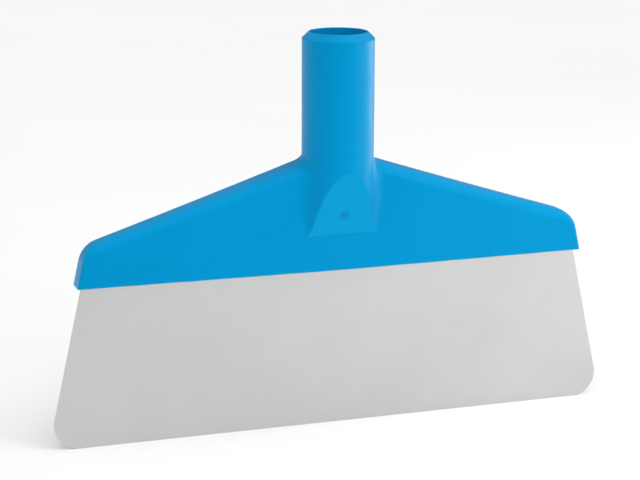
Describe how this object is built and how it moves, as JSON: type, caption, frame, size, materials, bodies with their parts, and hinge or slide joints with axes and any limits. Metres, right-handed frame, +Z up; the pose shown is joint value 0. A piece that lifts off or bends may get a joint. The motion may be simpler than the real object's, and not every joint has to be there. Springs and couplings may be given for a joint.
{
  "type": "floor scraper",
  "caption": "Floor scraper head: a flared steel scraping blade locked into a winged plastic holder with a threaded handle socket.",
  "frame": {"origin": "the middle of the blade's working edge, at the lowest point of the head and halfway through its thickness", "axes": "+Z up along the handle socket's axis, +X along the working edge, and the faceted front of the holder faces -Y"},
  "size_m": [0.26, 0.032, 0.1786],
  "materials": {
    "holder_plastic": "satin",
    "blade_steel": "satin"
  },
  "bodies": {
    "root": {"holder": "holder_plastic", "blade": "blade_steel"}
  },
  "joints": []
}
